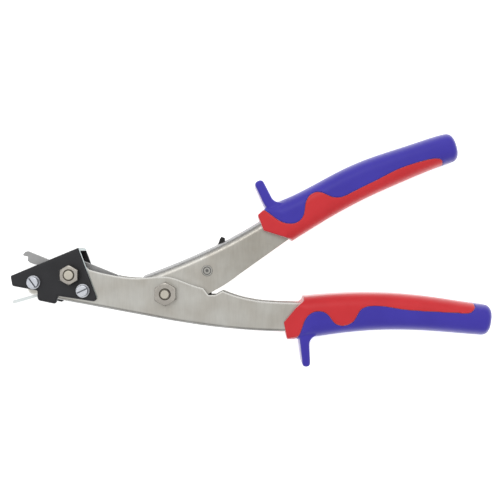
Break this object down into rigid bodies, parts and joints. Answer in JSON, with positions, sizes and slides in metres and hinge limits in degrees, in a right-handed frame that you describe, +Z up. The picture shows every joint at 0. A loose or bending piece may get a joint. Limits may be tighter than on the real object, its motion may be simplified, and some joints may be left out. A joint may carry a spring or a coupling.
{
  "type": "hand nibbler",
  "caption": "Double-lever hand nibbler for sheet metal with a hooked rocking cutter in a slotted die head, sprung handles, a latch and two-colour grips.",
  "frame": {"origin": "on the main pivot's axis, on the resting face of the pivot bolt's head", "axes": "+X from the die head towards the grips, +Y towards the upper handle, +Z up, along the pivot axes"},
  "size_m": [0.278, 0.1347, 0.0284],
  "materials": {
    "nickel_steel": "satin nickel plate with fine grinding marks",
    "black_steel": "black-finished pressed steel, bare bright cut edges",
    "zinc_steel": "zinc-plated hex nuts and bolts",
    "screw_steel": "bright zinc slotted screws",
    "spring_steel": "plain steel",
    "tool_steel": "hardened tool steel, matte grey",
    "latch_black": "black oxide",
    "red_plastic": "satin moulded plastic",
    "blue_plastic": "soft-touch moulded plastic"
  },
  "bodies": {
    "lower_handle": {"lower_lever": "nickel_steel", "die_head": "black_steel", "pivot_bolt": "zinc_steel", "pivot_nut": "zinc_steel", "pivot_washer": "zinc_steel", "pivot_bush": "spring_steel", "cutter_bolt": "zinc_steel", "cutter_nut": "zinc_steel", "cutter_bush": "spring_steel", "cutter_spacers": "spring_steel", "front_screw": "screw_steel", "rear_screw": "screw_steel", "front_sleeve": "spring_steel", "rear_sleeve": "spring_steel", "strip_guide": "nickel_steel", "opening_spring": "spring_steel", "lower_grip_body": "red_plastic", "lower_grip_cushion": "blue_plastic"},
    "upper_handle": {"upper_lever": "nickel_steel", "drive_pin": "spring_steel", "upper_grip_body": "red_plastic", "upper_grip_cushion": "blue_plastic", "latch_rivet": "nickel_steel", "latch_spacers": "spring_steel"},
    "rocker": {"cutter": "tool_steel"},
    "catch": {"latch": "latch_black"}
  },
  "joints": [
    {"name": "handle_close", "type": "hinge", "parent": "lower_handle", "child": "upper_handle", "pos_m": [0, 0, 0.013], "axis": [0, 0, -1], "range_deg": [0, 23], "stiffness_Nm_per_rad": 4, "springref_deg": -14.32, "deforming": ["opening_spring"]},
    {"name": "cutter_rock", "type": "hinge", "parent": "lower_handle", "child": "rocker", "pos_m": [-0.0545, 0.011, 0.013], "axis": [0, 0, 1], "range_deg": [0, 16.99]},
    {"name": "latch_swing", "type": "hinge", "parent": "upper_handle", "child": "catch", "pos_m": [0.0237, 0.0133, 0.013], "axis": [0, 0, -1], "range_deg": [0, 8]}
  ],
  "couplings": [
    {"joint": "cutter_rock", "follows": "handle_close", "ratio": 0.7378}
  ]
}
